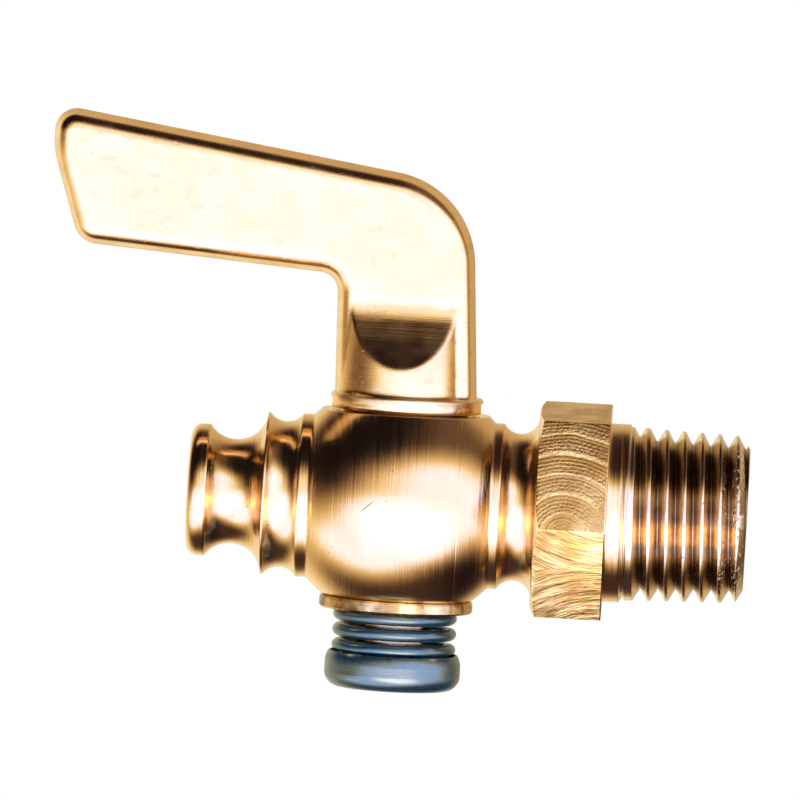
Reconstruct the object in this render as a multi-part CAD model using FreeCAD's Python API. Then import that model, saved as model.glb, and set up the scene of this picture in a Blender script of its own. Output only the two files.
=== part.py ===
import FreeCAD, Part
import math
import os

V = FreeCAD.Vector

# Sizes in mm: X along the waterway to the pipe thread, Z up the plug, the two axes crossing at the origin

# Globe of the body
globe_r = 9.75
top_flat_z = 7.1
lower_flat_z = 7.7
waterway_d = 4.76
mouth_bevel = 0.4

# Outlet side, from the globe outwards
outlet_band_r = 6.5
outlet_band_l = 0.85
outlet_groove_depth = 0.7
outlet_groove_r = 1.65
bead_drop = 0.05
bead_w = 0.15
throat_depth = 1.1
throat_cove_r = 2.5
rim_r = 5.25
rim_l = 0.55
nose_round = 0.9

# Inlet side, from the globe outwards
inlet_band_r = 6.6
inlet_band_l = 0.72
inlet_groove_depth = 0.75
inlet_groove_r = 1.5
hex_af = 15.875
hex_l = 5.7
hex_turn = 6.5
hex_chamfer = 18.0
hex_chamfer_depth = 0.05
shoulder_r = 7.1
shoulder_l = 1.6
thread_l = 9.55
thread_end_d = 13.255
thread_taper = 1 / 16
thread_bevel_l = 0.6
thread_bevel_h = 1.03

# Ground plug and its seat
plug_r = 4.5
plug_slope = 1 / 14
seat_gap = 0.03
plug_recess = 0.3

# Collar under the lever
collar_r = 5.95
collar_h = 1.2
collar_gap = 0.15
lip_h = 0.35
lip_out = 0.12

# Lever
neck_r = 5.62
neck_h = 8.95
neck_back_r = 5.72
neck_draft = 3.8
neck_back_lean = 1.6
neck_front_r = 5.1
neck_front_shift = 0.55
neck_front_draft = 3.0
blade_root_h = 8.48
blade_t = 4.5
blade_draft = 16.0
blade_reach = 29.15
blade_top_rise = 8.18
blade_low_rise = 3.79
tip_upright = 3.7
tip_slope = 18.1
elbow_r = 7.5
tip_top_r = 1.75
tip_bend_r = 6.0
tip_low_r = 2.0
crook_r = 1.5
edge_round = 1.0
scoop_drop = 1.55
scoop_dip = 0.03
scoop_top_r = 3.0
scoop_turn = 27.0
scoop_r = 25.0
scoop_end = 50.0

# Shank, washer, spring and cap below the globe
shank_r = 3.1
shank_flats = 4.6
key_gap = 0.05
washer_r = 6.12
washer_t = 0.95
washer_gap = 0.05
washer_edge = 0.15
spring_wire = 0.98
spring_out_r = 4.95
spring_pitch = 1.25
spring_coils = 3
spring_gap = 0.02
cap_clear = 0.07
cap_sheet = 0.4
cap_edge_r = 1.2
cap_h = 2.85
cap_lip_t = 0.12
cap_lip_h = 0.9
dish_r = 3.3
dish_h = 0.6
dish_slope_w = 0.5
tenon_r = 1.9
tenon_gap = 0.02
rivet_r = 2.6
rivet_h = 0.45


# Edges that follow one another, closed into a face
def face_of(start, *steps):
    edges = []
    here = start
    for step in steps:
        if len(step) == 2:
            edges.append(Part.LineSegment(here, step[1]).toShape())
        else:
            edges.append(Part.Arc(here, step[1], step[2]).toShape())
        here = step[-1]
    if here.sub(start).Length > 1e-7:
        edges.append(Part.LineSegment(here, start).toShape())
    return Part.Face(Part.Wire(edges))


def line(point):
    return ("line", point)


def arc(middle, point):
    return ("arc", middle, point)


# Half the width of a round groove at a given depth
def half_chord(radius, depth):
    return math.sqrt(radius ** 2 - (radius - depth) ** 2)


# A point of a profile turned about X or about Z
def at_x(x, r):
    return V(x, 0, r)


def at_z(r, z):
    return V(r, 0, z)


def turned(face, axis):
    return face.revolve(V(0, 0, 0), axis, 360)


# A closed outline in the XZ plane with its corners rounded
def rounded_outline(corners):
    count = len(corners)
    cuts = []
    for i in range(count):
        here, radius = corners[i]
        before = corners[i - 1][0].sub(here).normalize()
        after = corners[(i + 1) % count][0].sub(here).normalize()
        if radius == 0:
            cuts.append((here, None, here))
            continue
        half = before.getAngle(after) / 2
        run = radius / math.tan(half)
        way_in = before.add(after).normalize()
        middle = here.add(way_in.multiply(radius / math.sin(half) - radius))
        cuts.append((here.add(before.multiply(run)), middle, here.add(after.multiply(run))))
    edges = []
    for i in range(count):
        first, middle, last = cuts[i]
        if middle is not None:
            edges.append(Part.Arc(first, middle, last).toShape())
        following = cuts[(i + 1) % count][0]
        edges.append(Part.LineSegment(last, following).toShape())
    return Part.Face(Part.Wire(edges))


# Places that follow from the sizes
waterway_r = waterway_d / 2
outlet_band_x = math.sqrt(globe_r ** 2 - outlet_band_r ** 2)
outlet_groove_start = outlet_band_x + outlet_band_l
outlet_floor_r = outlet_band_r - outlet_groove_depth
bead_r = outlet_band_r - bead_drop
outlet_groove_x = outlet_groove_start + half_chord(outlet_groove_r, outlet_groove_depth)
bead_x = outlet_groove_x + half_chord(outlet_groove_r, bead_r - outlet_floor_r)
bead_end_x = bead_x + bead_w
throat_r = rim_r - throat_depth
throat_x = bead_end_x + half_chord(throat_cove_r, bead_r - throat_r)
rim_x = throat_x + half_chord(throat_cove_r, throat_depth)
rim_end_x = rim_x + rim_l
nose_x = rim_end_x + nose_round

inlet_band_x = math.sqrt(globe_r ** 2 - inlet_band_r ** 2)
inlet_groove_start = inlet_band_x + inlet_band_l
inlet_floor_r = inlet_band_r - inlet_groove_depth
inlet_groove_x = inlet_groove_start + half_chord(inlet_groove_r, inlet_groove_depth)
hex_x = inlet_groove_x + inlet_groove_r
hex_root_r = inlet_floor_r + inlet_groove_r
hex_end_x = hex_x + hex_l
hex_corner_r = hex_af / math.sqrt(3)
shoulder_x = hex_end_x + shoulder_l
inlet_x = shoulder_x + thread_l
thread_end_r = thread_end_d / 2
thread_start_r = thread_end_r + thread_l * thread_taper / 2
thread_bevel_r = thread_end_r + thread_bevel_l * thread_taper / 2

collar_z = top_flat_z + collar_gap
collar_top_z = collar_z + collar_h
blade_low_z = collar_top_z + neck_h
blade_top_z = blade_low_z + blade_root_h
blade_half = blade_t / 2

washer_z = -lower_flat_z - washer_gap
washer_low_z = washer_z - washer_t
spring_r = spring_out_r - spring_wire / 2
spring_start_z = washer_low_z - spring_gap - spring_wire / 2
spring_end_z = spring_start_z - spring_coils * spring_pitch - spring_wire - spring_gap
cap_in_r = spring_out_r + cap_clear
cap_out_r = cap_in_r + cap_sheet
cap_corner_r = cap_edge_r - cap_sheet
cap_corner_x = cap_out_r - cap_edge_r
spring_reach = cap_corner_r - spring_wire / 2 - spring_gap
cap_corner_z = spring_end_z + math.sqrt(spring_reach ** 2 - (spring_r - cap_corner_x) ** 2)
cap_floor_z = cap_corner_z - cap_corner_r
cap_low_z = cap_floor_z - cap_sheet
cap_rim_z = cap_low_z + cap_h
dish_low_z = cap_low_z + dish_h
dish_top_z = dish_low_z + cap_sheet
plug_low_z = -lower_flat_z + plug_recess


def plug_r_at(z):
    return plug_r + plug_slope * z


# Body: one turning, with the hexagon, the faced flats, the seat and the waterway
def make_valve_body():
    nose_in = nose_round * (1 - math.sqrt(0.5))
    profile = face_of(
        at_x(-nose_x, 0),
        line(at_x(-nose_x, rim_r - nose_round)),
        arc(at_x(nose_in - nose_x, rim_r - nose_in), at_x(-rim_end_x, rim_r)),
        line(at_x(-rim_x, rim_r)),
        arc(at_x(-throat_x, throat_r), at_x(-bead_end_x, bead_r)),
        line(at_x(-bead_x, bead_r)),
        arc(at_x(-outlet_groove_x, outlet_floor_r), at_x(-outlet_groove_start, outlet_band_r)),
        line(at_x(-outlet_band_x, outlet_band_r)),
        arc(at_x(0, globe_r), at_x(inlet_band_x, inlet_band_r)),
        line(at_x(inlet_groove_start, inlet_band_r)),
        arc(at_x(inlet_groove_x, inlet_floor_r), at_x(hex_x, hex_root_r)),
        line(at_x(hex_end_x, hex_root_r)),
        line(at_x(hex_end_x, shoulder_r)),
        line(at_x(shoulder_x, shoulder_r)),
        line(at_x(shoulder_x, thread_start_r)),
        line(at_x(inlet_x - thread_bevel_l, thread_bevel_r)),
        line(at_x(inlet_x, thread_bevel_r - thread_bevel_h)),
        line(at_x(inlet_x, 0)),
    )
    body = turned(profile, V(1, 0, 0))
    body = body.fuse(make_hexagon())

    flat_l = inlet_groove_start + outlet_groove_start
    flat_at = V(-outlet_groove_start, -globe_r, 0)
    upper = Part.makeBox(flat_l, 2 * globe_r, globe_r, flat_at.add(V(0, 0, top_flat_z)))
    lower = Part.makeBox(flat_l, 2 * globe_r, globe_r, flat_at.sub(V(0, 0, lower_flat_z + globe_r)))

    seat_low_z = -lower_flat_z - globe_r
    seat_top_z = top_flat_z + globe_r
    seat_low_r = plug_r_at(seat_low_z) + seat_gap
    seat_top_r = plug_r_at(seat_top_z) + seat_gap
    seat = Part.makeCone(seat_low_r, seat_top_r, seat_top_z - seat_low_z, V(0, 0, seat_low_z))
    body = body.cut(upper).cut(lower).cut(seat)

    bore = Part.makeCylinder(waterway_r, nose_x + inlet_x, V(-nose_x, 0, 0), V(1, 0, 0))
    mouth_r = waterway_r + mouth_bevel
    nose_mouth = Part.makeCone(mouth_r, waterway_r, mouth_bevel, V(-nose_x, 0, 0), V(1, 0, 0))
    inlet_mouth = Part.makeCone(mouth_r, waterway_r, mouth_bevel, V(inlet_x, 0, 0), V(-1, 0, 0))
    return body.cut(bore).cut(nose_mouth).cut(inlet_mouth).removeSplitter()


# Hexagon for the spanner, chamfered on the side that faces the globe
def make_hexagon():
    points = []
    for i in range(7):
        angle = math.radians(hex_turn + 60 * i)
        points.append(V(hex_x, -hex_corner_r * math.cos(angle), -hex_corner_r * math.sin(angle)))
    prism = Part.Face(Part.makePolygon(points)).extrude(V(hex_l, 0, 0))
    start_r = hex_af / 2 - hex_chamfer_depth
    run = (hex_corner_r - start_r) * math.tan(math.radians(hex_chamfer))
    envelope = face_of(
        at_x(hex_x, 0),
        line(at_x(hex_x, start_r)),
        line(at_x(hex_x + run, hex_corner_r)),
        line(at_x(hex_end_x, hex_corner_r)),
        line(at_x(hex_end_x, 0)),
    )
    return prism.common(turned(envelope, V(1, 0, 0)))


# Lever blade: a casting parted along its middle, drafted to both sides, with its edges rounded
def make_blade():
    top_rise = math.tan(math.radians(blade_top_rise))
    low_rise = math.tan(math.radians(blade_low_rise))
    lean = math.tan(math.radians(neck_draft))
    slant = math.tan(math.radians(tip_slope))
    foot_z = collar_z
    elbow_x = (neck_r - lean * (blade_top_z - foot_z)) / (1 - lean * top_rise)
    elbow_z = blade_top_z - top_rise * elbow_x
    tip_top_z = blade_top_z + top_rise * blade_reach
    tip_bend_z = tip_top_z - tip_upright
    tip_low_x = (-blade_reach + slant * (tip_bend_z - blade_low_z)) / (1 - slant * low_rise)
    tip_low_z = blade_low_z - low_rise * tip_low_x
    crook_z = blade_low_z + low_rise * neck_back_r
    crook_x = neck_back_r + (crook_z - foot_z) * math.tan(math.radians(neck_back_lean))
    outline = rounded_outline([
        (V(-neck_back_r, 0, foot_z), 0),
        (V(neck_r, 0, foot_z), 0),
        (V(elbow_x, 0, elbow_z), elbow_r),
        (V(-blade_reach, 0, tip_top_z), tip_top_r),
        (V(-blade_reach, 0, tip_bend_z), tip_bend_r),
        (V(tip_low_x, 0, tip_low_z), tip_low_r),
        (V(-crook_x, 0, crook_z), crook_r),
    ]).OuterWire
    inset = blade_half * math.tan(math.radians(blade_draft))
    halves = []
    for side in (-1, 1):
        face_wire = outline.makeOffset2D(-inset)
        face_wire.translate(V(0, side * blade_half, 0))
        halves.append(Part.makeLoft([outline, face_wire], True, True))
    plate = halves[0].fuse(halves[1]).removeSplitter()
    face_edges = []
    for edge in plate.Edges:
        middle = edge.CenterOfMass
        if abs(abs(middle.y) - blade_half) < 1e-6 and middle.z > foot_z + 2 * inset:
            face_edges.append(edge)
    return plate.makeFillet(edge_round, face_edges)


# Tool that mills one side of the blade flat and runs out in a slope down the neck
def make_scoop(side):
    turn = math.radians(scoop_turn)
    end = math.radians(scoop_end)
    middle = (turn + end) / 2
    floor_y = blade_half - scoop_dip
    scoop_z = blade_low_z - scoop_drop
    bend_y = floor_y + scoop_top_r * (1 - math.cos(turn))
    bend_z = scoop_z - scoop_top_r * math.sin(turn)

    def at_side(y, z):
        return V(-collar_r, side * y, z)

    def on_slope(angle):
        out = scoop_r * (math.cos(turn) - math.cos(angle))
        down = scoop_r * (math.sin(angle) - math.sin(turn))
        return at_side(bend_y + out, bend_z - down)

    start = at_side(bend_y, 2 * scoop_z - bend_z)
    far_y = floor_y + scoop_r
    return face_of(
        start,
        arc(at_side(floor_y, scoop_z), at_side(bend_y, bend_z)),
        arc(on_slope(middle), on_slope(end)),
        line(at_side(far_y, on_slope(end).z)),
        line(at_side(far_y, start.z)),
    ).extrude(V(2 * collar_r, 0, 0))


# Lever and plug: one piece from the blade down to the riveted end
def make_plug_lever():
    blade = make_blade()
    neck_low_z = collar_top_z - lip_h
    neck_l = blade_low_z - scoop_drop - neck_low_z
    front_top_r = neck_front_r - neck_l * math.tan(math.radians(neck_front_draft))
    front_foot = V(-neck_front_shift, 0, neck_low_z)
    lever = blade.fuse(Part.makeCone(neck_front_r, front_top_r, neck_l, front_foot))
    lever = lever.cut(make_scoop(-1)).cut(make_scoop(1))

    lip_z = collar_top_z - lip_h
    lip_r = collar_r + lip_out
    rivet_low_z = dish_low_z - rivet_h
    dome_r = (rivet_r ** 2 + rivet_h ** 2) / (2 * rivet_h)
    dome_turn = math.asin(rivet_r / dome_r) / 2
    dome_mid = at_z(dome_r * math.sin(dome_turn), rivet_low_z + dome_r * (1 - math.cos(dome_turn)))
    plug = turned(face_of(
        at_z(0, rivet_low_z),
        arc(dome_mid, at_z(rivet_r, dish_low_z)),
        line(at_z(tenon_r, dish_low_z)),
        line(at_z(tenon_r, dish_top_z)),
        line(at_z(shank_r, dish_top_z)),
        line(at_z(shank_r, plug_low_z)),
        line(at_z(plug_r_at(plug_low_z), plug_low_z)),
        line(at_z(plug_r_at(collar_z), collar_z)),
        line(at_z(collar_r, collar_z)),
        line(at_z(collar_r, lip_z)),
        line(at_z(lip_r, lip_z)),
        arc(at_z(lip_r - lip_out / 2, collar_top_z - lip_out / 2), at_z(lip_r - lip_h, collar_top_z)),
        line(at_z(0, collar_top_z)),
    ), V(0, 0, 1))

    shank_l = plug_low_z - dish_top_z
    for side in (-1, 1):
        flat_at = V(side * (shank_flats / 2 + shank_r / 2) - shank_r / 2, -shank_r, dish_top_z)
        plug = plug.cut(Part.makeBox(shank_r, 2 * shank_r, shank_l, flat_at))

    port = Part.makeCylinder(waterway_r, 2 * globe_r, V(-globe_r, 0, 0), V(1, 0, 0))
    return lever.fuse(plug).cut(port).removeSplitter()


# Washer keyed on the shank
def make_key_washer():
    disc = turned(face_of(
        at_z(0, washer_low_z),
        line(at_z(washer_r - washer_edge, washer_low_z)),
        line(at_z(washer_r, washer_low_z + washer_edge)),
        line(at_z(washer_r, washer_z - washer_edge)),
        line(at_z(washer_r - washer_edge, washer_z)),
        line(at_z(0, washer_z)),
    ), V(0, 0, 1))
    hole_r = shank_r + key_gap
    hole_w = shank_flats + 2 * key_gap
    hole = Part.makeCylinder(hole_r, washer_t, V(0, 0, washer_low_z))
    slot = Part.makeBox(hole_w, 2 * hole_r, washer_t, V(-hole_w / 2, -hole_r, washer_low_z))
    return disc.cut(hole.common(slot))


# Half a turn of the spring's wire, from one side of the plug's axis to the other
def half_turn(start_x, z, drop):
    wire = Part.Face(Part.Wire(Part.makeCircle(spring_wire / 2, V(start_x, 0, z), V(0, 1, 0))))
    return wire.revolve(V(0, 0, z - drop / 2), V(-drop / 2, 0, spring_r), 180)


# Spring: each turn lies level at the front and drops round the back, and the lowest turn is closed up
def make_spring():
    z = spring_start_z
    coil = half_turn(-spring_r, z, 0)
    for drop in [spring_pitch] * spring_coils + [spring_wire + spring_gap]:
        coil = coil.fuse(half_turn(spring_r, z, drop))
        z = z - drop
        coil = coil.fuse(half_turn(-spring_r, z, 0))
    return coil.removeSplitter()


# Cap: a pressed cup with its mouth drawn in and a dished middle for the riveted end
def make_spring_cap():
    turn = math.sqrt(0.5)
    corner_x = cap_corner_x
    corner_z = cap_corner_z
    inner_r = cap_corner_r
    slope_x = dish_r - dish_slope_w
    lip_x = cap_in_r + cap_lip_t
    lip_z = cap_rim_z - cap_lip_h
    lip_in = cap_out_r - lip_x
    lip_r = (lip_in ** 2 + cap_lip_h ** 2) / (2 * lip_in)
    lip_turn = math.asin(cap_lip_h / lip_r) / 2
    lip_mid = at_z(cap_out_r - lip_r * (1 - math.cos(lip_turn)), lip_z + lip_r * math.sin(lip_turn))
    return turned(face_of(
        at_z(tenon_r + tenon_gap, dish_low_z),
        line(at_z(slope_x, dish_low_z)),
        line(at_z(dish_r, cap_low_z)),
        line(at_z(corner_x, cap_low_z)),
        arc(at_z(corner_x + cap_edge_r * turn, corner_z - cap_edge_r * turn), at_z(cap_out_r, corner_z)),
        line(at_z(cap_out_r, lip_z)),
        arc(lip_mid, at_z(lip_x, cap_rim_z)),
        line(at_z(cap_in_r, cap_rim_z)),
        line(at_z(cap_in_r, corner_z)),
        arc(at_z(corner_x + inner_r * turn, corner_z - inner_r * turn), at_z(corner_x, cap_floor_z)),
        line(at_z(dish_r + cap_sheet / 2, cap_floor_z)),
        line(at_z(slope_x + cap_sheet / 2, dish_top_z)),
        line(at_z(tenon_r + tenon_gap, dish_top_z)),
    ), V(0, 0, 1))


os.makedirs("parts", exist_ok=True)
make_valve_body().exportStep("parts/valve_body.step")
make_plug_lever().exportStep("parts/plug_lever.step")
make_key_washer().exportStep("parts/key_washer.step")
make_spring().exportStep("parts/spring.step")
make_spring_cap().exportStep("parts/spring_cap.step")
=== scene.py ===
import bpy
import math
from mathutils import Matrix, Vector


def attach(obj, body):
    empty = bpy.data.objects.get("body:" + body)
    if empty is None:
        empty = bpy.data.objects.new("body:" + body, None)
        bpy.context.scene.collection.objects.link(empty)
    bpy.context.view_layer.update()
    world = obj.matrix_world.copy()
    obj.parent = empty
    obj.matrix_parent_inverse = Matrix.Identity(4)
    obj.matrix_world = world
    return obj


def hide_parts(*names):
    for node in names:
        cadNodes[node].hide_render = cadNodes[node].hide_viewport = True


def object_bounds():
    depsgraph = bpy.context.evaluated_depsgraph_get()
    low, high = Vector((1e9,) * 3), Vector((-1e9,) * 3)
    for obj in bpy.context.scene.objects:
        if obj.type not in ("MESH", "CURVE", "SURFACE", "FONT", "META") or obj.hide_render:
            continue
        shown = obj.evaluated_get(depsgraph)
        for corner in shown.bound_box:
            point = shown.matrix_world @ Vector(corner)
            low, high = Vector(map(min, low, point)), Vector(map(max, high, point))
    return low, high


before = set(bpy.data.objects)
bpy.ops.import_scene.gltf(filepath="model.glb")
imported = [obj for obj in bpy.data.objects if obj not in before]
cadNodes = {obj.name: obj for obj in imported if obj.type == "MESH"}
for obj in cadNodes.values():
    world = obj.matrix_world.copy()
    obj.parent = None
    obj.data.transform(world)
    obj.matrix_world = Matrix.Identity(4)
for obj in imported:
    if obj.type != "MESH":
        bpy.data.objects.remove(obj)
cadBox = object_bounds()
mm = 0.001  # pieces are shaped in millimetres and brought to metres at the end
weld = 0.0005  # points closer than this, in millimetres, are one
print("frame loaded:", ", ".join(sorted(cadNodes)))


# small helpers for shaping

def deselectAll():
    if bpy.context.object and bpy.context.object.mode != "OBJECT":
        bpy.ops.object.mode_set(mode="OBJECT")
    bpy.ops.object.select_all(action="DESELECT")


def pick(piece):
    deselectAll()
    piece.select_set(True)
    bpy.context.view_layer.objects.active = piece


def applyPlace(piece):
    pick(piece)
    bpy.ops.object.transform_apply(location=True, rotation=True, scale=True)


def arcThrough(centre, radius, start, end, stepAngle):
    count = max(2, math.ceil(abs(end - start) / stepAngle))
    points = []
    for i in range(count + 1):
        angle = math.radians(start + (end - start) * i / count)
        points.append((centre[0] + radius * math.cos(angle), centre[1] + radius * math.sin(angle)))
    return points


def softenCorners(points, cut, minAngle=15, steps=3, most=0.4):
    soft = [points[0]]
    for before, here, after in zip(points, points[1:], points[2:]):
        a, p, b = Vector(before), Vector(here), Vector(after)
        turn = math.degrees((p - a).angle(b - p, 0))
        if turn < minAngle:
            soft.append(here)
            continue
        first = p + (a - p).normalized() * min(cut, most * (a - p).length)
        last = p + (b - p).normalized() * min(cut, most * (b - p).length)
        for i in range(steps + 1):
            t = i / steps
            soft.append(tuple(first * (1 - t) ** 2 + p * 2 * t * (1 - t) + last * t ** 2))
    soft.append(points[-1])
    return soft


def drawProfile(name, points):
    deselectAll()
    bpy.ops.mesh.primitive_plane_add(size=0.1, location=(points[0][0], 0, points[0][1]))
    piece = bpy.context.object
    piece.name = name
    bpy.ops.object.mode_set(mode="EDIT")
    bpy.ops.mesh.merge(type="CENTER")  # one point to draw the profile from
    for here, there in zip(points, points[1:]):
        step = (there[0] - here[0], 0, there[1] - here[1])
        bpy.ops.mesh.extrude_region_move(TRANSFORM_OT_translate={"value": step})
    bpy.ops.mesh.select_all(action="SELECT")
    bpy.ops.mesh.remove_doubles(threshold=weld)
    bpy.ops.object.mode_set(mode="OBJECT")
    applyPlace(piece)
    return piece


def spinRound(piece, axis, steps):
    pick(piece)
    bpy.ops.object.mode_set(mode="EDIT")
    bpy.ops.mesh.select_all(action="SELECT")
    bpy.ops.mesh.spin(steps=steps, angle=math.tau, center=(0, 0, 0), axis=axis)
    bpy.ops.mesh.select_all(action="SELECT")
    bpy.ops.mesh.remove_doubles(threshold=weld)
    bpy.ops.mesh.normals_make_consistent(inside=False)
    bpy.ops.object.mode_set(mode="OBJECT")


def carve(piece, tool, operation):
    pick(piece)
    cut = piece.modifiers.new("carve", "BOOLEAN")
    cut.object = tool
    cut.operation = operation
    cut.solver = "EXACT"
    bpy.ops.object.modifier_apply(modifier=cut.name)
    bpy.data.objects.remove(tool)


def addBox(name, low, high):
    deselectAll()
    middle = [(a + b) / 2 for a, b in zip(low, high)]
    bpy.ops.mesh.primitive_cube_add(size=1, location=middle, scale=[b - a for a, b in zip(low, high)])
    piece = bpy.context.object
    piece.name = name
    applyPlace(piece)
    return piece


def tidyMesh(piece):  # the cuts leave slivers of no area
    pick(piece)
    bpy.ops.object.mode_set(mode="EDIT")
    bpy.ops.mesh.select_all(action="SELECT")
    bpy.ops.mesh.remove_doubles(threshold=weld)
    bpy.ops.mesh.dissolve_degenerate(threshold=weld)
    bpy.ops.mesh.select_all(action="SELECT")
    bpy.ops.mesh.delete_loose(use_verts=True, use_edges=True, use_faces=False)
    bpy.ops.object.mode_set(mode="OBJECT")


def finishPiece(piece, smoothAngle):
    piece.scale = (mm, mm, mm)
    applyPlace(piece)
    pick(piece)
    bpy.ops.object.shade_smooth_by_angle(angle=math.radians(smoothAngle))
    print("piece", piece.name, len(piece.data.polygons), "faces")


# body: one turning with its hexagon, flats, seat and cut thread

bodySizes = {
    "globeR": 9.75, "topFlat": 7.1, "lowFlat": 7.7, "boreR": 2.38, "mouthBevel": 0.4,
    "outBandR": 6.5, "outBandL": 0.85, "outGrooveDepth": 0.7, "outGrooveR": 1.65,
    "beadDrop": 0.05, "beadW": 0.15, "throatDepth": 1.1, "coveR": 2.5,
    "rimR": 5.25, "rimL": 0.55, "noseRound": 0.9,
    "inBandR": 6.6, "inBandL": 0.72, "inGrooveDepth": 0.75, "inGrooveR": 1.5,
    "hexAcross": 15.875, "hexL": 5.7, "hexTurn": 6.5, "hexChamfer": 18, "hexChamferDepth": 0.05,
    "shoulderR": 7.1, "shoulderL": 1.6, "threadL": 9.55, "threadEndR": 6.6275, "threadTaper": 1 / 32,
    "threadBevelL": 0.6, "threadBevelH": 1.03, "plugR": 4.53, "plugSlope": 1 / 14,
    "softEdge": 0.09, "hexEdge": 0.1, "roundSteps": 144, "arcStep": 4, "seatSteps": 96,
    "smoothAngle": 30, "cutSpare": 1, "hexSpare": 0.2, "hexLead": 0.5, "boxReach": 1.2,
}
threadSizes = {
    "pitch": 1.4111, "depth": 0.95, "rootFlat": 0.1, "overCut": 0.08, "flankAngle": 30,
    "firstRoot": 17.3, "turns": 8, "fadeTurns": 1.3, "fadeLift": 0.2, "stepsPerTurn": 96,
}


def halfChord(radius, depth):
    return math.sqrt(radius ** 2 - (radius - depth) ** 2)


def bodyPlaces(s):
    p = {}
    p["outBandX"] = math.sqrt(s["globeR"] ** 2 - s["outBandR"] ** 2)
    p["outGrooveStart"] = p["outBandX"] + s["outBandL"]
    p["outFloorR"] = s["outBandR"] - s["outGrooveDepth"]
    p["beadR"] = s["outBandR"] - s["beadDrop"]
    p["outGrooveX"] = p["outGrooveStart"] + halfChord(s["outGrooveR"], s["outGrooveDepth"])
    p["beadX"] = p["outGrooveX"] + halfChord(s["outGrooveR"], p["beadR"] - p["outFloorR"])
    p["beadEnd"] = p["beadX"] + s["beadW"]
    p["throatR"] = s["rimR"] - s["throatDepth"]
    p["throatX"] = p["beadEnd"] + halfChord(s["coveR"], p["beadR"] - p["throatR"])
    p["rimX"] = p["throatX"] + halfChord(s["coveR"], s["throatDepth"])
    p["rimEnd"] = p["rimX"] + s["rimL"]
    p["noseX"] = p["rimEnd"] + s["noseRound"]
    p["inBandX"] = math.sqrt(s["globeR"] ** 2 - s["inBandR"] ** 2)
    p["inGrooveStart"] = p["inBandX"] + s["inBandL"]
    p["inFloorR"] = s["inBandR"] - s["inGrooveDepth"]
    p["inGrooveX"] = p["inGrooveStart"] + halfChord(s["inGrooveR"], s["inGrooveDepth"])
    p["hexX"] = p["inGrooveX"] + s["inGrooveR"]
    p["hexRootR"] = p["inFloorR"] + s["inGrooveR"]
    p["hexEnd"] = p["hexX"] + s["hexL"]
    p["hexCornerR"] = s["hexAcross"] / math.sqrt(3)
    p["shoulderX"] = p["hexEnd"] + s["shoulderL"]
    p["inletX"] = p["shoulderX"] + s["threadL"]
    p["threadStartR"] = s["threadEndR"] + s["threadL"] * s["threadTaper"]
    p["bevelR"] = s["threadEndR"] + s["threadBevelL"] * s["threadTaper"]
    return p


def angleAt(centre, point):
    return math.degrees(math.atan2(point[1] - centre[1], point[0] - centre[0]))


def bodyProfile(s, p):
    step = s["arcStep"]
    mouthR = s["boreR"] + s["mouthBevel"]
    cove = (-p["throatX"], p["throatR"] + s["coveR"])
    groove = (-p["outGrooveX"], p["outFloorR"] + s["outGrooveR"])
    inGroove = (p["inGrooveX"], p["inFloorR"] + s["inGrooveR"])
    outline = [
        (-p["noseX"] + s["mouthBevel"], s["boreR"]),
        (-p["noseX"], mouthR),
    ]
    outline += arcThrough((-p["rimEnd"], s["rimR"] - s["noseRound"]), s["noseRound"], 180, 90, 2 * step)
    outline += arcThrough(cove, s["coveR"], angleAt(cove, (-p["rimX"], s["rimR"])),
                          angleAt(cove, (-p["beadEnd"], p["beadR"])), step)
    outline += arcThrough(groove, s["outGrooveR"], angleAt(groove, (-p["beadX"], p["beadR"])),
                          angleAt(groove, (-p["outGrooveStart"], s["outBandR"])), step)
    outline += arcThrough((0, 0), s["globeR"], angleAt((0, 0), (-p["outBandX"], s["outBandR"])),
                          angleAt((0, 0), (p["inBandX"], s["inBandR"])), step / 2)
    outline += arcThrough(inGroove, s["inGrooveR"], angleAt(inGroove, (p["inGrooveStart"], s["inBandR"])),
                          0, step)
    outline += [
        (p["hexEnd"], p["hexRootR"]),
        (p["hexEnd"], s["shoulderR"]),
        (p["shoulderX"], s["shoulderR"]),
        (p["shoulderX"], p["threadStartR"]),
        (p["inletX"] - s["threadBevelL"], p["bevelR"]),
        (p["inletX"], p["bevelR"] - s["threadBevelH"]),
        (p["inletX"], mouthR),
        (p["inletX"] - s["mouthBevel"], s["boreR"]),
    ]
    outline = softenCorners(outline, s["softEdge"])
    return outline + [outline[0]]


def makeHexagon(s, p):
    deselectAll()
    bpy.ops.mesh.primitive_cylinder_add(vertices=6, radius=p["hexCornerR"], depth=s["hexL"])
    hexagon = bpy.context.object
    hexagon.name = "hexagon"
    middle = (p["hexX"] + p["hexEnd"]) / 2
    lie = Matrix.Rotation(math.radians(s["hexTurn"]), 4, "X") @ Matrix.Rotation(math.pi / 2, 4, "Y")
    hexagon.matrix_world = Matrix.Translation((middle, 0, 0)) @ lie
    applyPlace(hexagon)
    bpy.ops.object.mode_set(mode="EDIT")
    bpy.ops.mesh.select_all(action="SELECT")
    bpy.ops.mesh.bevel(offset=s["hexEdge"], segments=2, affect="EDGES")
    bpy.ops.object.mode_set(mode="OBJECT")
    slope = math.tan(math.radians(s["hexChamfer"]))
    startR = s["hexAcross"] / 2 - s["hexChamferDepth"]
    outerR = p["hexCornerR"] + s["hexSpare"]
    leadX, pastX = p["hexX"] - s["hexLead"], p["hexEnd"] + s["cutSpare"]
    envelope = drawProfile("hexEnvelope", [  # its cone takes off the corners at the globe's end
        (leadX, 0), (leadX, startR - s["hexLead"] / slope),
        (p["hexX"] + (outerR - startR) * slope, outerR), (pastX, outerR), (pastX, 0),
    ])
    spinRound(envelope, (1, 0, 0), s["roundSteps"])
    carve(hexagon, envelope, "INTERSECT")
    return hexagon


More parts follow.
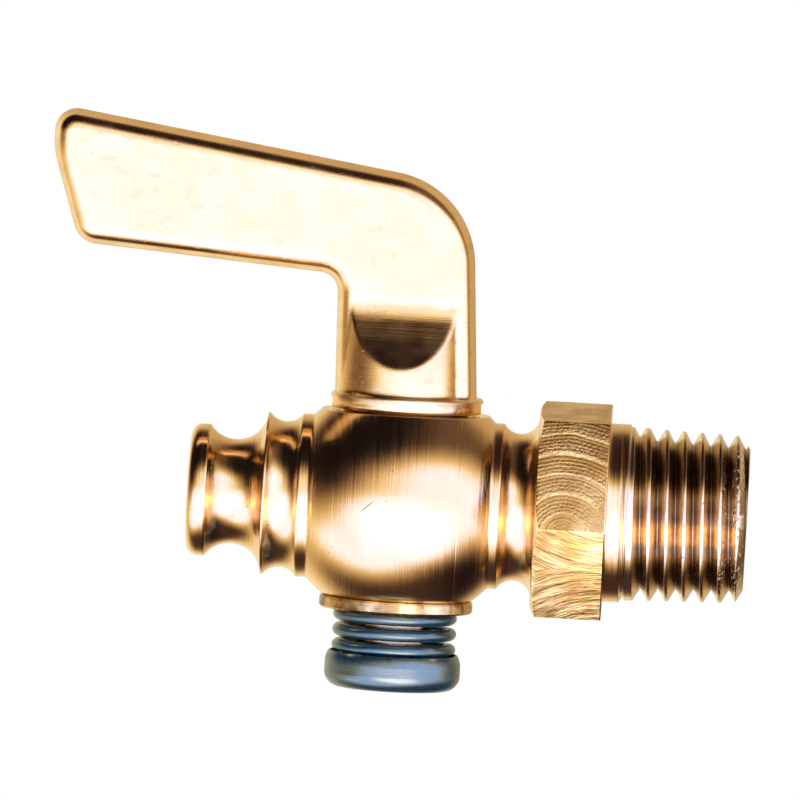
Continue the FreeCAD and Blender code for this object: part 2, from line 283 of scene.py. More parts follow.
def makeThreadCutter(s, p, t):
    spread = math.tan(math.radians(t["flankAngle"]))
    rootR = p["threadStartR"] - t["depth"]
    topR = p["threadStartR"] + t["overCut"]
    rootW = t["rootFlat"] / 2
    topW = rootW + (topR - rootR) * spread
    x = t["firstRoot"]
    corners = [(x - rootW, rootR), (x + rootW, rootR), (x + topW, topR), (x - topW, topR)]
    cutter = drawProfile("threadCutter", corners + [corners[0]])
    pick(cutter)
    screw = cutter.modifiers.new("helix", "SCREW")
    screw.axis = "X"
    screw.angle = math.tau * t["turns"]
    screw.screw_offset = t["pitch"] * t["turns"]
    screw.steps = round(t["stepsPerTurn"] * t["turns"])
    screw.render_steps = screw.steps
    screw.use_smooth_shade = False
    bpy.ops.object.modifier_apply(modifier=screw.name)
    for i, v in enumerate(cutter.data.vertices):  # follow the taper, and rise out of the metal at the start
        turn = math.floor(i / len(corners)) / t["stepsPerTurn"]
        lift = (t["depth"] + t["fadeLift"]) * max(0, 1 - turn / t["fadeTurns"])
        radius = math.hypot(v.co.y, v.co.z)
        wanted = radius - (v.co.x - p["shoulderX"]) * s["threadTaper"] + lift
        v.co.y *= wanted / radius
        v.co.z *= wanted / radius
    bpy.ops.object.mode_set(mode="EDIT")
    bpy.ops.mesh.select_all(action="SELECT")
    bpy.ops.mesh.fill_holes(sides=6)
    bpy.ops.mesh.select_all(action="SELECT")
    bpy.ops.mesh.normals_make_consistent(inside=False)
    bpy.ops.object.mode_set(mode="OBJECT")
    return cutter


def makeBody():
    s = bodySizes
    p = bodyPlaces(s)
    body = drawProfile("threaded_body", bodyProfile(s, p))
    spinRound(body, (1, 0, 0), s["roundSteps"])
    print("body turned")
    carve(body, makeHexagon(s, p), "UNION")
    far = s["boxReach"] * s["globeR"]
    left, right = -p["outGrooveStart"], p["inGrooveStart"]
    carve(body, addBox("topFlat", (left, -far, s["topFlat"]), (right, far, far)), "DIFFERENCE")
    carve(body, addBox("lowFlat", (left, -far, -far), (right, far, -s["lowFlat"])), "DIFFERENCE")
    low, high = -s["lowFlat"] - s["cutSpare"], s["topFlat"] + s["cutSpare"]
    deselectAll()
    bpy.ops.mesh.primitive_cone_add(
        vertices=s["seatSteps"], depth=high - low, location=(0, 0, (low + high) / 2),
        radius1=s["plugR"] + s["plugSlope"] * low, radius2=s["plugR"] + s["plugSlope"] * high)
    seat = bpy.context.object
    applyPlace(seat)
    carve(body, seat, "DIFFERENCE")
    print("body faced and bored")
    carve(body, makeThreadCutter(s, p, threadSizes), "DIFFERENCE")
    print("thread cut")
    tidyMesh(body)
    finishPiece(body, s["smoothAngle"])
    return body, p


threadedBody, bodyPlace = makeBody()
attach(threadedBody, "body")
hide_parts("valve_body")


# materials

def newMaterial(name):
    material = bpy.data.materials.new(name)
    material.use_nodes = True
    return material, material.node_tree.nodes["Principled BSDF"]


def addNode(tree, kind, inputs=None, **settings):
    node = tree.nodes.new(kind)
    for key, value in settings.items():
        setattr(node, key, value)
    for key, value in (inputs or {}).items():
        if isinstance(value, bpy.types.NodeSocket):
            tree.links.new(value, node.inputs[key])
        else:
            node.inputs[key].default_value = value
    return node


def math2(tree, operation, a, b=0.0, c=0.0):
    node = addNode(tree, "ShaderNodeMath", {0: a, 1: b, 2: c}, operation=operation)
    return node.outputs[0]


def blendColours(tree, share, first, second):
    mix = addNode(tree, "ShaderNodeMix", data_type="RGBA")
    for socket, value in ((mix.inputs[0], share), (mix.inputs[6], first), (mix.inputs[7], second)):
        if isinstance(value, bpy.types.NodeSocket):
            tree.links.new(value, socket)
        else:
            socket.default_value = (*value, 1) if isinstance(value, tuple) else value
    return mix.outputs[2]


def lengthOf(tree, a, b):
    squares = math2(tree, "ADD", math2(tree, "MULTIPLY", a, a), math2(tree, "MULTIPLY", b, b))
    return math2(tree, "SQRT", squares)


def rangeOf(tree, value, low, high, toLow=0.0, toHigh=1.0):
    node = addNode(tree, "ShaderNodeMapRange", {"Value": value, "From Min": low, "From Max": high,
                   "To Min": toLow, "To Max": toHigh}, interpolation_type="SMOOTHSTEP")
    return node.outputs[0]


def grain(tree, place, scale, detail=3.0, rough=0.5):
    stretched = addNode(tree, "ShaderNodeMapping", {"Vector": place, "Scale": scale})
    noise = addNode(tree, "ShaderNodeTexNoise", {"Vector": stretched.outputs[0], "Scale": 1.0,
                    "Detail": detail, "Roughness": rough})
    return noise.outputs["Fac"]


def ridge(tree, height, depth, under=None):
    inputs = {"Height": height, "Distance": depth, "Strength": 1.0}
    if under is not None:
        inputs["Normal"] = under
    return addNode(tree, "ShaderNodeBump", inputs).outputs[0]


def objectPlace(tree):
    return addNode(tree, "ShaderNodeTexCoord").outputs["Object"]


def partsOf(tree, vector):
    return addNode(tree, "ShaderNodeSeparateXYZ", {0: vector}).outputs[:3]


def between(tree, value, low, high, fade):
    rise = rangeOf(tree, value, low - fade, low)
    fall = rangeOf(tree, value, high, high + fade, 1.0, 0.0)
    return math2(tree, "MULTIPLY", rise, fall)


cloudEdge = (0.35, 0.68)  # where the bright brass turns into the deep


def brassTone(tree, place, t):
    clouds = grain(tree, place, t["cloudScale"])
    tone = blendColours(tree, rangeOf(tree, clouds, *cloudEdge), t["bright"], t["deep"])
    specks = rangeOf(tree, grain(tree, place, t["speckScale"], 2.0), *t["speckEdge"])
    return blendColours(tree, math2(tree, "MULTIPLY", specks, t["speckShare"]), tone, t["spot"])


def softNormal(tree, t):
    return addNode(tree, "ShaderNodeBevel", {"Radius": t["softEdge"]}, samples=t["softRays"]).outputs[0]


def wireUp(tree, shader, tone, rough, normal):
    for name, value in (("Base Color", tone), ("Roughness", rough), ("Normal", normal)):
        tree.links.new(value, shader.inputs[name])


def wireMetal(tree, shader, tone, rough, normal):
    shader.inputs["Metallic"].default_value = 1
    wireUp(tree, shader, tone, rough, normal)


noiseSpan = (0.3, 0.7)  # nearly all of a noise's values lie between these
noiseMiddle = 0.5

turnedBrass = {
    "bright": (0.86, 0.58, 0.28), "deep": (0.80, 0.52, 0.23), "spot": (0.30, 0.17, 0.07),
    "cloudScale": (260, 260, 260),
    "speckScale": (2600, 2600, 2600), "speckEdge": (0.7, 0.76), "speckShare": 0.5,
    "roughness": (0.1, 0.2), "lineScale": (4200, 45, 45), "fineScale": (14000, 60, 60),
    "lineDepth": 2.4e-5, "fineDepth": 3e-6, "softEdge": 0.00025, "softRays": 8,
    "markX": 0.00466, "markWide": 0.00006, "markDepth": 1.2e-5,  # the one deeper tool line beside the seat
    "nick": (-0.00248, -0.00943, 0.00009), "nickTurn": 43, "nickLong": 0.0009, "nickWide": 0.00009,
    "nickDepth": 4e-5, "nickEdge": (0.2, 1.0),
}


def makeTurnedBrass(t):
    material, shader = newMaterial("turned_brass")
    tree = material.node_tree
    place = objectPlace(tree)
    lines = grain(tree, place, t["lineScale"], 5.0, 0.7)
    fine = grain(tree, place, t["fineScale"], 2.0)
    mark = math2(tree, "ABSOLUTE", math2(tree, "SUBTRACT", partsOf(tree, place)[0], t["markX"]))
    mark = rangeOf(tree, mark, 0.0, t["markWide"])
    shifted = addNode(tree, "ShaderNodeVectorMath", {0: place, 1: t["nick"]}, operation="SUBTRACT")
    turned = addNode(tree, "ShaderNodeVectorRotate", {"Vector": shifted.outputs[0], "Axis": (0, 1, 0),
                     "Angle": math.radians(t["nickTurn"])}, rotation_type="AXIS_ANGLE")
    along, deep, across = partsOf(tree, turned.outputs[0])
    oval = addNode(tree, "ShaderNodeCombineXYZ", {
        0: math2(tree, "DIVIDE", along, t["nickLong"]), 1: math2(tree, "DIVIDE", across, t["nickWide"]),
        2: math2(tree, "DIVIDE", deep, t["nickLong"])})
    reach = addNode(tree, "ShaderNodeVectorMath", {0: oval.outputs[0]}, operation="LENGTH").outputs["Value"]
    normal = ridge(tree, lines, t["lineDepth"], softNormal(tree, t))
    normal = ridge(tree, fine, t["fineDepth"], normal)
    normal = ridge(tree, mark, t["markDepth"], normal)
    normal = ridge(tree, rangeOf(tree, reach, *t["nickEdge"]), t["nickDepth"], normal)
    rough = rangeOf(tree, lines, *noiseSpan, *t["roughness"])
    wireMetal(tree, shader, brassTone(tree, place, t), rough, normal)
    return material


milledBrass = {  # one face has steps round a centre at its lower edge, the rest long crossed sweeps
    "bright": (0.92, 0.62, 0.22), "deep": (0.60, 0.32, 0.08), "spot": (0.34, 0.19, 0.07),
    "cloudScale": (420, 420, 420),
    "speckScale": (3200, 3200, 3200), "speckEdge": (0.6, 0.7), "speckShare": 0.45,
    "roughness": (0.2, 0.32), "sweptRoughness": (0.28, 0.4), "faceTurn": 36.5, "faces": 6, "arcFace": 2,
    "faceSlack": 0.001, "faceNear": 0.4,  # against rounding in a face's number
    "arcX": 13.1, "arcT": 4.9, "arcPitch": 1.66, "arcLip": 0.17, "arcDepth": 5.5e-5, "arcEdge": (0.35, 0.55),
    "wanderScale": (500, 500, 500), "wander": 0.35, "fineWander": 3.0,
    # fineLipHighlight: how strongly the fine steps' lips show as painted highlight lines
    "finePitch": 0.3, "fineLip": 0.4, "fineLipHighlight": 0.5, "fineDepth": 1e-5,
    "dotScale": (4200, 4200, 4200), "dotDepth": 4e-6, "chatterEdge": (0.36, 0.56), "chatter": (0.5, 1.0),
    "sweepX": 16.6, "sweepT": 10.5, "sweepLean": 1.8e-4,
    "hairScale": 1.5, "hairBend": 2.0, "hairShift": 0.4, "hairGrain": (1, 1, 3),
    "hairDepth": 1.5e-4, "hairEdge": (0.52, 0.36),
    # paintedShadeShare: how far the painted shade darkens the tone towards the deep
    "patchScale": (420, 420, 420), "patchReach": 9.0, "patchEdge": (-0.9, 0.9), "paintedShadeShare": 0.6,
}
stepHeights = (0.4, 0.6)  # the least height of a cutter's step, and how much chance adds


def cutterSteps(tree, phase, lip, face):
    ring = math2(tree, "FLOOR", phase)
    part = math2(tree, "FRACT", phase)
    draw = addNode(tree, "ShaderNodeCombineXYZ", {0: ring, 1: face}).outputs[0]
    chance = addNode(tree, "ShaderNodeTexWhiteNoise", {"Vector": draw}, noise_dimensions="3D").outputs["Value"]
    height = math2(tree, "MULTIPLY_ADD", chance, stepHeights[1], stepHeights[0])
    rise = rangeOf(tree, part, 0.0, lip)
    fall = math2(tree, "DIVIDE", math2(tree, "SUBTRACT", 1.0, part), 1.0 - lip)
    step = math2(tree, "MULTIPLY", math2(tree, "MINIMUM", rise, fall), height)
    return step, rangeOf(tree, part, lip, 2 * lip, 1.0, 0.0)


def aroundCentre(tree, x, across, centre):
    dx = math2(tree, "SUBTRACT", x, centre[0])
    dt = math2(tree, "SUBTRACT", across, centre[1])
    return lengthOf(tree, dx, dt), math2(tree, "ARCTAN2", dt, dx)


def pickBy(tree, mask, chosen, other):
    rest = math2(tree, "SUBTRACT", 1.0, mask)
    return math2(tree, "MULTIPLY_ADD", chosen, mask, math2(tree, "MULTIPLY", other, rest))


def makeMilledBrass(t, s):
    material, shader = newMaterial("milled_brass")
    tree = material.node_tree
    place = objectPlace(tree)
    x, y, z = partsOf(tree, place)
    sector = math.tau / t["faces"]
    turn = math2(tree, "SUBTRACT", math2(tree, "ARCTAN2", z, y), math.radians(t["faceTurn"]))
    turn = math2(tree, "DIVIDE", turn, sector)
    face = math2(tree, "ROUND", turn)
    local = math2(tree, "MULTIPLY", math2(tree, "SUBTRACT", turn, face), sector)
    across = math2(tree, "MULTIPLY", math2(tree, "TANGENT", local), s["hexAcross"] / 2)
    along = math2(tree, "DIVIDE", x, mm)
    face = math2(tree, "FLOORED_MODULO", math2(tree, "ADD", face, t["faceSlack"]), float(t["faces"]))
    stepped = math2(tree, "COMPARE", face, float(t["arcFace"]), t["faceNear"])
    swept = math2(tree, "SUBTRACT", 1.0, stepped)
    dots = grain(tree, place, t["dotScale"], 3.0, 0.6)
    wander = math2(tree, "SUBTRACT", grain(tree, place, t["wanderScale"]), noiseMiddle)
    wander = math2(tree, "MULTIPLY", wander, t["wander"])
    far = aroundCentre(tree, along, across, (t["arcX"], t["arcT"]))[0]
    wide = math2(tree, "ADD", math2(tree, "DIVIDE", far, t["arcPitch"]), wander)
    fine = math2(tree, "DIVIDE", far, t["finePitch"])
    fine = math2(tree, "ADD", fine, math2(tree, "MULTIPLY", wander, t["fineWander"]))
    wideSteps, wideLip = cutterSteps(tree, wide, t["arcLip"], face)
    fineSteps, fineLip = cutterSteps(tree, fine, t["fineLip"], face)
    chatter = math2(tree, "MULTIPLY", stepped, rangeOf(tree, dots, *t["chatterEdge"], *t["chatter"]))
    hairs = []
    for side in (-1, 1):  # long sweeps round one centre above the face and one below it
        far, angle = aroundCentre(tree, along, across, (t["sweepX"], side * t["sweepT"]))
        curved = addNode(tree, "ShaderNodeCombineXYZ", {
            0: math2(tree, "MULTIPLY", far, t["hairScale"]), 1: math2(tree, "MULTIPLY", angle, t["hairBend"]),
            2: math2(tree, "ADD", face, side * t["hairShift"])})
        hairs.append(grain(tree, curved.outputs[0], t["hairGrain"], 4.0, 0.6))
    uneven = math2(tree, "SUBTRACT", grain(tree, place, t["patchScale"], 1.0), noiseMiddle)
    lower = math2(tree, "MULTIPLY_ADD", uneven, t["patchReach"], across)
    lower = rangeOf(tree, lower, *t["patchEdge"])
    hair = pickBy(tree, lower, hairs[1], hairs[0])
    normal = ridge(tree, math2(tree, "MULTIPLY", wideSteps, chatter), t["arcDepth"])
    normal = ridge(tree, math2(tree, "MULTIPLY", fineSteps, stepped), t["fineDepth"], normal)
    normal = ridge(tree, math2(tree, "MULTIPLY", across, swept), t["sweepLean"], normal)
    normal = ridge(tree, math2(tree, "MULTIPLY", hair, swept), t["hairDepth"], normal)
    normal = ridge(tree, dots, t["dotDepth"], normal)
    # painted highlight: bright lines along the steep lips of the cutter steps
    line = math2(tree, "MULTIPLY", wideLip, rangeOf(tree, dots, *t["arcEdge"]))
    line = math2(tree, "MAXIMUM", line, math2(tree, "MULTIPLY", fineLip, t["fineLipHighlight"]))
    # painted shade: the stepped face is darkened as a whole except along the lip lines, and the swept faces
    # are darkened in the grooves of the sweep marks
    paintedShade = pickBy(tree, swept, rangeOf(tree, hair, *t["hairEdge"]), math2(tree, "SUBTRACT", 1.0, line))
    paintedShade = math2(tree, "MULTIPLY", paintedShade, t["paintedShadeShare"])
    tone = blendColours(tree, paintedShade, brassTone(tree, place, t), t["deep"])
    smooth = rangeOf(tree, dots, *noiseSpan, *t["roughness"])
    satin = rangeOf(tree, dots, *noiseSpan, *t["sweptRoughness"])
    wireMetal(tree, shader, tone, pickBy(tree, swept, satin, smooth), normal)
    return material


threadBrass = {
    "bright": (0.80, 0.61, 0.37), "deep": (0.70, 0.51, 0.29), "spot": (0.22, 0.12, 0.05),
    "cloudScale": (300, 300, 300),
    "speckScale": (2200, 2200, 2200), "speckEdge": (0.68, 0.76), "speckShare": 0.5,
    "roughness": (0.1, 0.18), "lineScale": (9000, 500, 500), "lineDepth": 3e-6,
    "softEdge": 0.00016, "softRays": 8,
    # painted shade: the tone darkens towards the thread roots
    "paintedRootShade": (0.16, 0.085, 0.04), "paintedRootShadeFrom": (0.6, 1.6), "unevenScale": (700, 700, 700), "uneven": 0.6,
    "burrFrom": (0.0252, 0.026), "burrScale": (2600, 2600, 2600), "burrEdge": (0.56, 0.66), "burrDepth": 6e-5,
    "burrReach": (0.9, 0.5),  # only the crests are torn
}


def makeThreadBrass(t, s, p, thread):
    material, shader = newMaterial("thread_brass")
    tree = material.node_tree
    place = objectPlace(tree)
    x, y, z = partsOf(tree, place)
    crest = math2(tree, "SUBTRACT", p["inletX"] * mm, x)
    crest = math2(tree, "MULTIPLY_ADD", crest, s["threadTaper"], s["threadEndR"] * mm)
    under = math2(tree, "SUBTRACT", crest, lengthOf(tree, y, z))
    under = math2(tree, "DIVIDE", under, thread["depth"] * mm)
    # painted shade in the thread's roots: darker the deeper below the crest, made uneven by noise
    uneven = math2(tree, "MULTIPLY", grain(tree, place, t["unevenScale"]), t["uneven"])
    paintedRootShade = rangeOf(tree, math2(tree, "ADD", under, uneven), *t["paintedRootShadeFrom"])
    tone = blendColours(tree, paintedRootShade, brassTone(tree, place, t), t["paintedRootShade"])
    lines = grain(tree, place, t["lineScale"], 3.0)
    burrs = rangeOf(tree, grain(tree, place, t["burrScale"], 3.0), *t["burrEdge"])
    burrs = math2(tree, "MULTIPLY", burrs, rangeOf(tree, x, *t["burrFrom"]))
    burrs = math2(tree, "MULTIPLY", burrs, rangeOf(tree, under, *t["burrReach"]))
    normal = ridge(tree, lines, t["lineDepth"], softNormal(tree, t))
    normal = ridge(tree, burrs, t["burrDepth"], normal)
    wireMetal(tree, shader, tone, rangeOf(tree, lines, *noiseSpan, *t["roughness"]), normal)
    return material


castBrass = {
    "bright": (0.92, 0.61, 0.275), "deep": (0.87, 0.55, 0.235), "spot": (0.45, 0.27, 0.12),
    "cloudScale": (300, 300, 300),
    "speckScale": (2400, 2400, 2400), "speckEdge": (0.69, 0.76), "speckShare": 0.4,
    "roughness": (0.15, 0.26), "waveScale": (420, 420, 420), "waveDepth": 9e-6,
    "pitScale": (3000, 3000, 3800), "pitEdge": (0.62, 0.74), "pitDepth": 8e-6,
    "millX": (-0.0048, 0.0037), "millZ": (0.0106, 0.0163), "millFade": 0.0003, "millTilt": (0.1, 0.2),
    "millScale": (160, 160, 6500), "millDepth": 1.3e-5, "softEdge": 0.0006, "softRays": 8,
    "stainAndShade": (0.66, 0.43, 0.19), "stainAndShadeScale": (520, 520, 900), "stainAndShadeEdge": (0.5, 0.72), "stainAndShadeShare": 0.65,
}


def makeCastBrass(t):
    material, shader = newMaterial("cast_brass")
    tree = material.node_tree
    place = objectPlace(tree)
    x, z = partsOf(tree, place)[::2]
    waves = grain(tree, place, t["waveScale"], 2.0)
    facing = addNode(tree, "ShaderNodeTexCoord").outputs["Normal"]
    milled = math2(tree, "MULTIPLY", between(tree, x, *t["millX"], t["millFade"]),
                   between(tree, z, *t["millZ"], t["millFade"]))
    milled = math2(tree, "MULTIPLY", milled, rangeOf(tree, partsOf(tree, facing)[2], *t["millTilt"]))
    cuts = math2(tree, "MULTIPLY", grain(tree, place, t["millScale"], 4.0, 0.65), milled)
    pits = rangeOf(tree, grain(tree, place, t["pitScale"], 2.0), *t["pitEdge"], 1.0, 0.0)
    pits = math2(tree, "MULTIPLY", pits, math2(tree, "SUBTRACT", 1.0, milled))
    # on the lever this is a real stain: random darker patches of brass
    stainAndShade = rangeOf(tree, grain(tree, place, t["stainAndShadeScale"], 5.0, 0.65), *t["stainAndShadeEdge"])
    stainAndShade = math2(tree, "MULTIPLY", stainAndShade, t["stainAndShadeShare"])
    tone = blendColours(tree, stainAndShade, brassTone(tree, place, t), t["stainAndShade"])
    normal = ridge(tree, waves, t["waveDepth"], softNormal(tree, t))
    normal = ridge(tree, pits, t["pitDepth"], normal)
    normal = ridge(tree, cuts, t["millDepth"], normal)
    wireMetal(tree, shader, tone, rangeOf(tree, waves, *noiseSpan, *t["roughness"]), normal)
    return material


washerBrass = {
    "bright": (0.82, 0.58, 0.25), "deep": (0.48, 0.29, 0.09), "spot": (0.24, 0.13, 0.06),
    "cloudScale": (700, 700, 500),
    "speckScale": (1500, 1500, 900), "speckEdge": (0.58, 0.68), "speckShare": 0.7,
    "roughness": (0.18, 0.36), "streakScale": (600, 600, 7000), "streakDepth": 1.5e-5,
    # painted shade: dark patches that fade in towards the washer's left (-X) side
    "stainAndShade": (0.16, 0.085, 0.045), "stainAndShadeScale": (420, 420, 420), "paintedShadeSide": (0.0025, -0.0035),
    "stainAndShadeEdge": (0.4, 0.6), "stainAndShadeShare": 0.9,
}


def makeWasherBrass(t):
    material, shader = newMaterial("washer_brass")
    tree = material.node_tree
    place = objectPlace(tree)
    streaks = grain(tree, place, t["streakScale"], 3.0)
    # painted shade: the dark patches are kept to the left (-X) side
    stainAndShade = rangeOf(tree, grain(tree, place, t["stainAndShadeScale"]), *t["stainAndShadeEdge"])
    stainAndShade = math2(tree, "MULTIPLY", stainAndShade, rangeOf(tree, partsOf(tree, place)[0], *t["paintedShadeSide"]))
    stainAndShade = math2(tree, "MULTIPLY", stainAndShade, t["stainAndShadeShare"])
    tone = blendColours(tree, stainAndShade, brassTone(tree, place, t), t["stainAndShade"])
    rough = rangeOf(tree, streaks, *noiseSpan, *t["roughness"])
    wireMetal(tree, shader, tone, rough, ridge(tree, streaks, t["streakDepth"]))
    return material


def skinBlue(shader, t):  # the oxide skin mirrors far more than paint does
    shader.inputs["IOR"].default_value = t["ior"]
    shader.inputs["Specular Tint"].default_value = (*t["tint"], 1)


springSteel = {
    "bright": (0.004, 0.058, 0.125), "deep": (0.002, 0.036, 0.082), "roughness": (0.15, 0.25),
    "ior": 2.4, "tint": (0.72, 0.82, 0.57),
    "cloudScale": (900, 900, 900), "grainScale": (4000, 4000, 4000), "grainDepth": 5e-6,
}


def makeSpringSteel(t):
    material, shader = newMaterial("spring_steel")
    tree = material.node_tree
    place = objectPlace(tree)
    clouds = grain(tree, place, t["cloudScale"])
    specks = grain(tree, place, t["grainScale"], 2.0)
    tone = blendColours(tree, rangeOf(tree, clouds, *noiseSpan), t["bright"], t["deep"])
    skinBlue(shader, t)
    rough = rangeOf(tree, clouds, *noiseSpan, *t["roughness"])
    wireUp(tree, shader, tone, rough, ridge(tree, specks, t["grainDepth"]))
    return material


capSteel = {
    "bright": (0.004, 0.052, 0.11), "deep": (0.002, 0.032, 0.072), "spot": (0.003, 0.008, 0.015),
    "roughness": (0.16, 0.28), "ior": 2.8, "tint": (0.74, 0.82, 0.58),
    "cloudScale": (600, 600, 1600), "streakScale": (350, 350, 7000), "streakDepth": 1e-5,
    "spotScale": (2400, 2400, 2400), "spotEdge": (0.58, 0.66), "spotFrom": (-0.0136, -0.013), "spotShare": 0.8,
}


def makeCapSteel(t):
    material, shader = newMaterial("cap_steel")
    tree = material.node_tree
    place = objectPlace(tree)
    clouds = grain(tree, place, t["cloudScale"])
    streaks = grain(tree, place, t["streakScale"], 3.0)
    tone = blendColours(tree, rangeOf(tree, clouds, *noiseSpan), t["bright"], t["deep"])
    spots = rangeOf(tree, grain(tree, place, t["spotScale"], 2.0), *t["spotEdge"])
    spots = math2(tree, "MULTIPLY", spots, rangeOf(tree, partsOf(tree, place)[2], *t["spotFrom"]))
    tone = blendColours(tree, math2(tree, "MULTIPLY", spots, t["spotShare"]), tone, t["spot"])
    skinBlue(shader, t)
    rough = rangeOf(tree, streaks, *noiseSpan, *t["roughness"])
    wireUp(tree, shader, tone, rough, ridge(tree, streaks, t["streakDepth"]))
    return material


def dress(piece, *materials):
    piece.data.materials.clear()
    for material in materials:
        piece.data.materials.append(material)


faceMarks = {  # which of the body's faces are milled, and which are thread
    "hexNear": 0.99, "hexTilt": 0.3, "threadLead": 0.3, "boreNear": 1.2,
}


def markFaces(piece, s, p, f):
    hexLow = f["hexNear"] * s["hexAcross"] / 2 * mm
    threadLow = f["boreNear"] * s["boreR"] * mm
    for face in piece.data.polygons:
        out = math.hypot(face.center.y, face.center.z)
        onHexagon = p["hexX"] * mm < face.center.x < p["hexEnd"] * mm and out > hexLow
        if onHexagon and abs(face.normal.x) < f["hexTilt"]:
            face.material_index = 1
        elif face.center.x > (p["shoulderX"] - f["threadLead"]) * mm and out > threadLow:
            face.material_index = 2


dress(threadedBody, makeTurnedBrass(turnedBrass), makeMilledBrass(milledBrass, bodySizes),
      makeThreadBrass(threadBrass, bodySizes, bodyPlace, threadSizes))
markFaces(threadedBody, bodySizes, bodyPlace, faceMarks)
dress(cadNodes["plug_lever"], makeCastBrass(castBrass))
dress(cadNodes["key_washer"], makeWasherBrass(washerBrass))
dress(cadNodes["spring"], makeSpringSteel(springSteel))
dress(cadNodes["spring_cap"], makeCapSteel(capSteel))
print("materials done")


# stage: floor, light tent, camera

# angles are in degrees, wide and high are half sizes, and inner is the share of them where the fading starts
glowParts = ("azimuth", "elevation", "roll", "wide", "high", "inner", "level")
tentSettings = {
    "radius": 0.9, "segments": 64, "rings": 32, "dim": 0.065, "topLevel": 1.6, "strength": 8.0,
    "glows": {
        "wall": (27, 0, -5, 105, 61, 0.48, 0.66),
        "core": (-25, -38, -4, 104, 52, 0.28, 0.83),
        "low": (240, -60, -62, 126, 66, 0.5, 0.16),
        "side": (130, 22, -17, 170, 72, 0.5, 0.25),
        "rear": (187, 2, -27, 90, 60, 0.5, 0.29),
    },
    "tones": [  # the light's colour at each level: warm where it is weak, bluish where it is strong
        (0.05, (0.008, 0.006, 0.010)), (0.2, (0.045, 0.029, 0.036)), (0.35, (0.185, 0.122, 0.095)),
        (0.5, (0.45, 0.33, 0.21)), (0.6, (0.67, 0.52, 0.315)), (0.7, (0.90, 0.76, 0.48)),
        (0.78, (1.12, 1.07, 0.85)), (0.86, (1.35, 1.42, 1.9)), (0.93, (1.45, 1.7, 3.3)),
        (1.25, (1.6, 1.85, 3.55)), (1.6, (5.6, 5.2, 6.3))],
}


def addGlow(tree, direction, glow):
    turns = (((0, 0, 1), -glow["azimuth"]), ((1, 0, 0), glow["elevation"]), ((0, 1, 0), glow["roll"]))
    for axis, angle in turns:
        turned = addNode(tree, "ShaderNodeVectorRotate", {"Vector": direction, "Axis": axis,
                         "Angle": math.radians(angle)}, rotation_type="AXIS_ANGLE")
        direction = turned.outputs[0]
    right, away, above = partsOf(tree, direction)
    across = math2(tree, "ARCTAN2", right, math2(tree, "MULTIPLY", away, -1.0))
    above = math2(tree, "ARCSINE", above)
    far = lengthOf(tree, math2(tree, "DIVIDE", across, math.radians(glow["wide"])),
                   math2(tree, "DIVIDE", above, math.radians(glow["high"])))
    return rangeOf(tree, far, glow["inner"], 1.0, glow["level"], 0.0)


def makeTent(t):
    deselectAll()
    bpy.ops.mesh.primitive_uv_sphere_add(segments=t["segments"], ring_count=t["rings"], radius=t["radius"])
    tent = bpy.context.object
    tent.name = "light_tent"
    bpy.ops.object.shade_smooth()
    material = bpy.data.materials.new("tent_light")
    material.use_nodes = True
    tree = material.node_tree
    tree.nodes.remove(tree.nodes["Principled BSDF"])
    direction = addNode(tree, "ShaderNodeVectorMath", {0: objectPlace(tree)}, operation="NORMALIZE")
    level = t["dim"]
    for glow in t["glows"].values():
        shine = addGlow(tree, direction.outputs[0], dict(zip(glowParts, glow)))
        level = math2(tree, "ADD", shine, level)
    tones = addNode(tree, "ShaderNodeValToRGB", {0: math2(tree, "DIVIDE", level, t["topLevel"])})
    stops = tones.color_ramp.elements
    while len(stops) < len(t["tones"]):
        stops.new(0.5)  # moved to its level below
    for stop, (at, light) in zip(stops, t["tones"]):
        stop.position = at / t["topLevel"]
        stop.color = (*(part / t["strength"] for part in light), 1)
    lamp = addNode(tree, "ShaderNodeEmission", {"Color": tones.outputs[0], "Strength": t["strength"]})
    tree.links.new(lamp.outputs[0], tree.nodes["Material Output"].inputs["Surface"])
    tent.data.materials.append(material)
    tent.visible_camera = False
    tent.visible_diffuse = False
    tent.visible_shadow = False


floorSettings = {
    "drop": 0.06, "size": 6.0, "tone": (0.9, 0.9, 0.9), "roughness": 0.9,
    "shadowReach": 0.2, "whiteFrom": 0.42,  # beyond this the floor is the white background
}


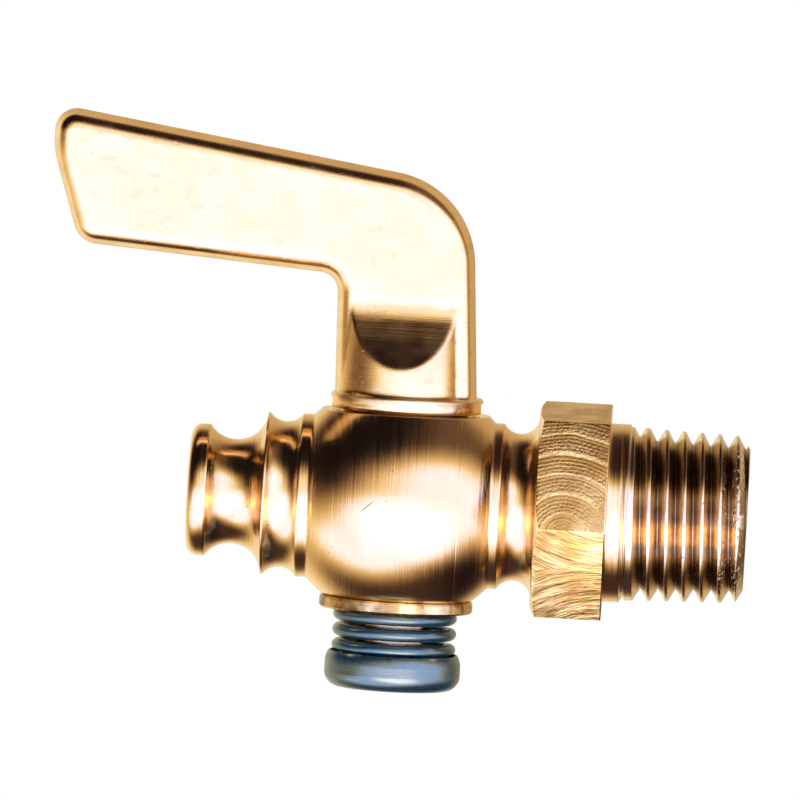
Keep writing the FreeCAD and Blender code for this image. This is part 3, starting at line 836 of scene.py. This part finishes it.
def makeFloor(f):
    deselectAll()
    low = cadBox[0][2] - f["drop"]
    bpy.ops.mesh.primitive_plane_add(size=f["size"], location=(0, 0, low))
    floor = bpy.context.object
    floor.name = "floor"
    applyPlace(floor)
    material, shader = newMaterial("pale_floor")
    tree = material.node_tree
    shader.inputs["Base Color"].default_value = (*f["tone"], 1)
    shader.inputs["Roughness"].default_value = f["roughness"]
    away = addNode(tree, "ShaderNodeVectorMath", {0: objectPlace(tree)}, operation="LENGTH")
    far = rangeOf(tree, away.outputs["Value"], f["shadowReach"], f["whiteFrom"])
    path = addNode(tree, "ShaderNodeLightPath")
    seen = math2(tree, "MAXIMUM", path.outputs["Is Camera Ray"], path.outputs["Is Glossy Ray"])
    seen = math2(tree, "MAXIMUM", seen, path.outputs["Is Transmission Ray"])
    white = addNode(tree, "ShaderNodeEmission", {"Strength": 1.0})
    mix = addNode(tree, "ShaderNodeMixShader", {0: math2(tree, "MULTIPLY", seen, far),
                  1: shader.outputs[0], 2: white.outputs[0]})
    tree.links.new(mix.outputs[0], tree.nodes["Material Output"].inputs["Surface"])
    floor.data.materials.append(material)
    floor.visible_glossy = False


def makeWorld():
    world = bpy.data.worlds.new("white_room")
    bpy.context.scene.world = world
    world.use_nodes = True
    world.node_tree.nodes["Background"].inputs["Color"].default_value = (1, 1, 1, 1)


cameraSettings = {
    "azimuth": 1.4, "elevation": 3.5, "roll": 3.17, "distance": 1.0,
    "pixelsPerMm": 12.55, "imageSize": 800, "originPixel": (401.4, 500.6), "sensor": 36, "clipEnd": 20,
}


def makeCamera(c):
    azimuth, elevation, roll = (math.radians(c[k]) for k in ("azimuth", "elevation", "roll"))
    back = Vector((math.sin(azimuth) * math.cos(elevation), -math.cos(azimuth) * math.cos(elevation),
                   math.sin(elevation)))
    level = Vector((math.cos(azimuth), math.sin(azimuth), 0))
    upright = back.cross(level)
    right = level * math.cos(roll) + upright * math.sin(roll)
    up = upright * math.cos(roll) - level * math.sin(roll)
    half = c["imageSize"] / 2
    shiftX = (half - c["originPixel"][0]) / c["pixelsPerMm"] * mm
    shiftY = (c["originPixel"][1] - half) / c["pixelsPerMm"] * mm
    target = right * shiftX + up * shiftY
    deselectAll()
    bpy.ops.object.camera_add()
    camera = bpy.context.object
    camera.name = "photo_camera"
    place = Matrix((right, up, back)).transposed().to_4x4()
    place.translation = target + back * c["distance"]
    camera.matrix_world = place
    field = c["imageSize"] / c["pixelsPerMm"] * mm
    camera.data.sensor_width = c["sensor"]
    camera.data.lens = c["sensor"] * c["distance"] / field
    camera.data.clip_end = c["clipEnd"]
    bpy.context.scene.camera = camera


makeTent(tentSettings)
makeFloor(floorSettings)
makeWorld()
makeCamera(cameraSettings)
bpy.context.scene.view_settings.view_transform = "Standard"
print("stage, light and camera done")

deselectAll()
